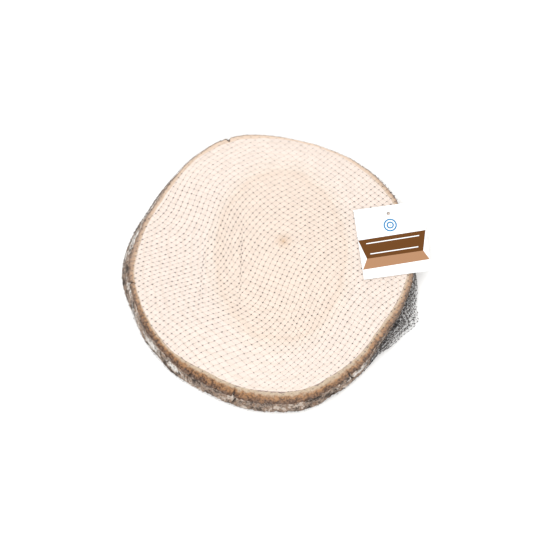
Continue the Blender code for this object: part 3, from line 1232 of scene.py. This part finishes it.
net_fold_outer = net_piece("net_fold_outer", inner_fold(*OUTER_FOLD), within_pocket)
net_fold_inner = net_piece("net_fold_inner", inner_fold(*INNER_FOLD), within_pocket)
print("layers in the pocket:", len((net_upper, net_fold_outer, net_fold_inner)))

# %% The way along the neck
CLIP_START = 3.5
neck_axis = Vector((math.cos(NECK_BEARING), math.sin(NECK_BEARING), 0))
neck_side = Vector((-neck_axis.y, neck_axis.x, 0))
neck_rim = float(side_radius(NECK_BEARING, np.float64(NECK_HEIGHT))) + NET_GAP


def neck_point(turn, out, wide):
    """A point in mm at this turn round the neck, this far out from the bark, this wide."""
    spread = neck_side * math.cos(turn) * wide + Vector((0, 0, 1)) * math.sin(turn) * wide
    return neck_axis * (neck_rim + out) + spread + Vector((0, 0, NECK_HEIGHT))


print("the neck leaves the bark at", round(neck_rim, 1), "mm")

# %% The gathered neck
NECK_STRANDS = 18
NECK_RADIUS = 0.28
NECK_END = 9.3
NECK_TWIST = 0.05
CLIP_WIDTH = 3.0
# Every other strand runs in an outer ring, this many times wider.
OUTER_RING = 1.9

neck_curve = bpy.data.curves.new("net_neck", "CURVE")
neck_curve.dimensions = "3D"
neck_curve.bevel_depth = NECK_RADIUS * MM
neck_curve.bevel_resolution = 1
neck_curve.use_fill_caps = True
for index in range(NECK_STRANDS):
    turn = index * 2 * math.pi / NECK_STRANDS
    ring = OUTER_RING if index % 2 else 1.0
    gathered = [(0.0, 9.5), (0.6, 6.4), (1.7, 3.6), (2.9, 1.04 * ring)]
    clipped = [(CLIP_START, 0.95 * ring), (CLIP_START + CLIP_WIDTH, 0.95 * ring)]
    tuft = [(7.4, 1.3 * ring), (NECK_END, 1.9 * ring)]
    stations = gathered + clipped + tuft
    spline = neck_curve.splines.new("POLY")
    spline.points.add(len(stations) - 1)
    for point, (out, wide) in zip(spline.points, stations):
        point.co = (*(neck_point(turn + NECK_TWIST * out, out, wide) * MM), 1)
net_neck = add_object("net_neck", drawn_mesh("net_neck strands", neck_curve))
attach(net_neck, "root")
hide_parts("net_bag")
print("neck:", NECK_STRANDS, "strands")

# %% [markdown]
# One plain material does for the whole net. The strands are too thin to show a pattern, and what
# the eye gets from them is how dark and how sharp they are.

# %% The net's plastic
# Black polyethylene, drawn out of the die as a net. It is slightly glossy, and it reads as fine
# dark dots and lines, softened to a dark grey because so thin a strand lets some light through.
net_plastic, _, shader = new_material("extruded black polyethylene", 0.38)
shader.inputs["Base Color"].default_value = linear("443f3e")
net_pieces = (net_upper, net_lower, net_fold_outer, net_fold_inner, net_neck)
for piece in net_pieces:
    piece.data.materials.append(net_plastic)
print("pieces of net:", len(net_pieces))

# %% [markdown]
# ## The clip
# A net bag like this is closed by a short aluminium strip that a machine bends round the neck and
# crimps. It could be a torus, but that would be round in section like wire. Spinning the section
# of a flat strip round the neck gives the right ring, and it is then pressed in a little at eight
# places, which are the marks that the crimping tool leaves.

# %% Bend the clip round the neck
CLIP_STEPS = 64
CLIP_INNER = 2.85
CLIP_OUTER = 3.7
CLIP_EDGE = 0.2

clip_bm = bmesh.new()
low = CLIP_START
high = CLIP_START + CLIP_WIDTH
section = [
    (CLIP_INNER, low + CLIP_EDGE), (CLIP_INNER, high - CLIP_EDGE),
    (CLIP_INNER + CLIP_EDGE, high), (CLIP_OUTER - CLIP_EDGE, high),
    (CLIP_OUTER, high - CLIP_EDGE), (CLIP_OUTER, low + CLIP_EDGE),
    (CLIP_OUTER - CLIP_EDGE, low), (CLIP_INNER + CLIP_EDGE, low),
]
clip_corners = [clip_bm.verts.new(neck_point(0, out, wide)) for wide, out in section]
clip_lines = [
    clip_bm.edges.new(pair) for pair in zip(clip_corners, clip_corners[1:] + clip_corners[:1])
]
bmesh.ops.spin(
    clip_bm,
    geom=clip_corners + clip_lines,
    cent=neck_point(0, 0, 0),
    axis=neck_axis,
    dvec=(0, 0, 0),
    angle=2 * math.pi,
    steps=CLIP_STEPS,
    use_merge=True,
    use_duplicate=False,
)
bmesh.ops.recalc_face_normals(clip_bm, faces=clip_bm.faces[:])
print("clip:", len(clip_bm.faces), "faces")

# %% Crimp the clip
CRIMPS = 8
CRIMP_DEPTH = 0.16
CRIMP_HALF = 1.4

clip_middle = neck_point(0, CLIP_START + CLIP_WIDTH / 2, 0)
for vert in clip_bm.verts:
    away = vert.co - clip_middle
    along = away.dot(neck_axis)
    round_axis = away - neck_axis * along
    turn = math.atan2(round_axis.z, round_axis.dot(neck_side))
    press = max(0.0, math.cos(turn * CRIMPS)) ** 4 * (1 - min(1.0, abs(along) / CRIMP_HALF))
    vert.co -= round_axis.normalized() * CRIMP_DEPTH * press
bmesh.ops.scale(clip_bm, verts=clip_bm.verts[:], vec=(MM, MM, MM))
clip_mesh = finished_mesh(clip_bm, "crimped_clip")
clip_mesh.shade_smooth()
crimped_clip = add_object("crimped_clip", clip_mesh)
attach(crimped_clip, "root")
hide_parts("neck_clip")

# Aluminium strip, rolled and then crimped by machine. It gives one small bright glint.
clip_metal, _, shader = new_material("rolled aluminium", 0.34, Metallic=1.0)
shader.inputs["Base Color"].default_value = linear("c9cbcd")
clip_mesh.materials.append(clip_metal)
print("crimped at", CRIMPS, "places")

# %% [markdown]
# ## The tag
# The tag is a stiff card with two printed bands that look like a folded ribbon. It carries no
# lettering: two plain lines and a motif of growth rings take its place. An image could hold the
# print, but it would blur close up. So the card is one box, and plane cuts along the edges of the
# bands divide its top. Every printed area is a set of faces with its own ink and a sharp edge.

# %% The card's sizes
TAG_TURN = math.radians(8.1)
TAG_SIZE = (64.0, 68.6, 0.5)
# Each band's corners in mm from the card's middle: top left, top right, bottom right, bottom left.
BROWN_BAND = ((-32.0, 4.2), (32.0, 5.6), (27.0, -14.1), (-26.4, -14.7))
TAN_BAND = ((-26.4, -14.7), (27.0, -14.1), (31.8, -23.3), (-31.7, -24.9))
UPPER_LINE = ((-25.0, 0.4), (25.4, 1.5), (25.3, 0.6), (-24.8, -0.5))
LOWER_LINE = ((-22.6, -10.0), (23.0, -9.3), (22.9, -10.2), (-22.4, -10.9))

tag_low, tag_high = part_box("hang_tag")
tag_middle = (tag_low + tag_high) / 2 / MM
print("the card's middle is at", [round(value, 1) for value in tag_middle], "mm")

# %% Cut the card
tag_bm = bmesh.new()
bmesh.ops.create_cube(tag_bm, size=1, matrix=Matrix.Diagonal((*TAG_SIZE, 1)))
for band in (BROWN_BAND, TAN_BAND, UPPER_LINE, LOWER_LINE):
    for one, two in zip(band, band[1:] + band[:1]):
        side = Vector((two[0] - one[0], two[1] - one[1], 0)).cross(Vector((0, 0, 1)))
        bmesh.ops.bisect_plane(
            tag_bm,
            geom=tag_bm.verts[:] + tag_bm.edges[:] + tag_bm.faces[:],
            dist=1e-5,
            plane_co=(*one, 0),
            plane_no=side,
        )


def inside_band(spot, band):
    """Whether a spot lies inside a band whose corners go clockwise."""
    return all(
        (two[0] - one[0]) * (spot[1] - one[1]) - (two[1] - one[1]) * (spot[0] - one[0]) <= 0
        for one, two in zip(band, band[1:] + band[:1])
    )


BARE_CARD, BROWN_INK, TAN_INK = range(3)
for face in tag_bm.faces:
    spot = face.calc_center_median()
    face.material_index = BARE_CARD
    if face.normal.z > 0.9:
        line = inside_band(spot, UPPER_LINE) or inside_band(spot, LOWER_LINE)
        if inside_band(spot, TAN_BAND):
            face.material_index = TAN_INK
        if inside_band(spot, BROWN_BAND) and not line:
            face.material_index = BROWN_INK
tag_place = (
    Matrix.Scale(MM, 4) @ Matrix.Translation(tag_middle) @ Matrix.Rotation(TAG_TURN, 4, "Z")
)
tag_bm.transform(tag_place)
tag_mesh = finished_mesh(tag_bm, "printed_tag")
printed_tag = add_object("printed_tag", tag_mesh)
print("card:", len(tag_mesh.polygons), "faces")

# %% [markdown]
# The card and its two inks are one coated surface in different colours. The motif's thin rings
# would need many small faces, so they are worked out in the card's material, from the distance to
# their middle.

# %% The card and its inks
MOTIF_MIDDLE = (0.0, 15.0)
MOTIF_EDGE = 7.7
MOTIF_SPACING = 2.8

# White coated card, printed and left bare round a small motif of growth rings. Its coating is
# smooth, and it gives the eye the brightest and cleanest white of the whole object.
white_card, tree, shader = new_material("white coated card", 0.5, Specular_IOR_Level=0.3)
where = add_node(tree, "ShaderNodeTexCoord").outputs["Object"]
motif_spot = tag_place @ Vector((*MOTIF_MIDDLE, 0))
from_motif = add_node(
    tree, "ShaderNodeVectorMath", {0: where, 1: tuple(motif_spot)}, operation="DISTANCE"
).outputs["Value"]
motif_far = add_node(
    tree, "ShaderNodeMath", {0: from_motif, 1: 1000.0}, operation="MULTIPLY"
).outputs[0]
motif_phase = add_node(
    tree, "ShaderNodeMath", {0: motif_far, 1: 2 * math.pi / MOTIF_SPACING}, operation="MULTIPLY"
).outputs[0]
motif_wave = add_node(tree, "ShaderNodeMath", {0: motif_phase}, operation="COSINE").outputs[0]
motif_line = add_node(
    tree, "ShaderNodeMath", {0: motif_wave, 1: 0.0}, operation="GREATER_THAN"
).outputs[0]
motif_inside = add_node(
    tree, "ShaderNodeMath", {0: motif_far, 1: MOTIF_EDGE}, operation="LESS_THAN"
).outputs[0]
motif = add_node(
    tree, "ShaderNodeMath", {0: motif_line, 1: motif_inside}, operation="MULTIPLY"
).outputs[0]
motif_color = add_node(
    tree, "ShaderNodeMix", {0: motif, 6: linear("e9edef"), 7: linear("1d6f9f")}, data_type="RGBA"
).outputs[2]
tree.links.new(motif_color, shader.inputs["Base Color"])

# Brown offset ink on the same coated card. It is the darkest large area of the whole object.
brown_ink, _, shader = new_material("brown printed card", 0.5, Specular_IOR_Level=0.12)
shader.inputs["Base Color"].default_value = linear("5c360e")

# A tan tint of the same ink. It makes the band look like the underside of a folded ribbon.
tan_ink, _, shader = new_material("tan printed card", 0.5, Specular_IOR_Level=0.12)
shader.inputs["Base Color"].default_value = linear("9d7556")
for material in (white_card, brown_ink, tan_ink):
    tag_mesh.materials.append(material)
print("inks on the card:", len(tag_mesh.materials) - 1)

# %% [markdown]
# The hole takes the string that such a tag can be hung by. A cylinder stands for the punch and is
# subtracted from the card, as the real hole is punched after printing. The exact solver keeps the
# printed faces and their inks on both sides of the cut.

# %% Punch the hole
HOLE_PLACE = (0.0, 26.5)
HOLE_RADIUS = 1.75
HOLE_STEPS = 40
PUNCH_LENGTH = 4.0

punch_bm = bmesh.new()
bmesh.ops.create_cone(
    punch_bm,
    cap_ends=True,
    segments=HOLE_STEPS,
    radius1=HOLE_RADIUS,
    radius2=HOLE_RADIUS,
    depth=PUNCH_LENGTH,
    matrix=Matrix.Translation((*HOLE_PLACE, 0)),
)
punch_bm.transform(tag_place)
punch = add_object("punch", finished_mesh(punch_bm, "punch"))
cut = printed_tag.modifiers.new("hole", "BOOLEAN")
cut.object = punch
cut.operation = "DIFFERENCE"
cut.solver = "EXACT"
punched = bpy.data.meshes.new_from_object(
    printed_tag.evaluated_get(bpy.context.evaluated_depsgraph_get())
)
printed_tag.modifiers.remove(cut)
printed_tag.data = punched
bpy.data.objects.remove(punch, do_unlink=True)
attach(printed_tag, "root")
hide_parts("hang_tag")
print("tag:", len(punched.polygons), "faces")
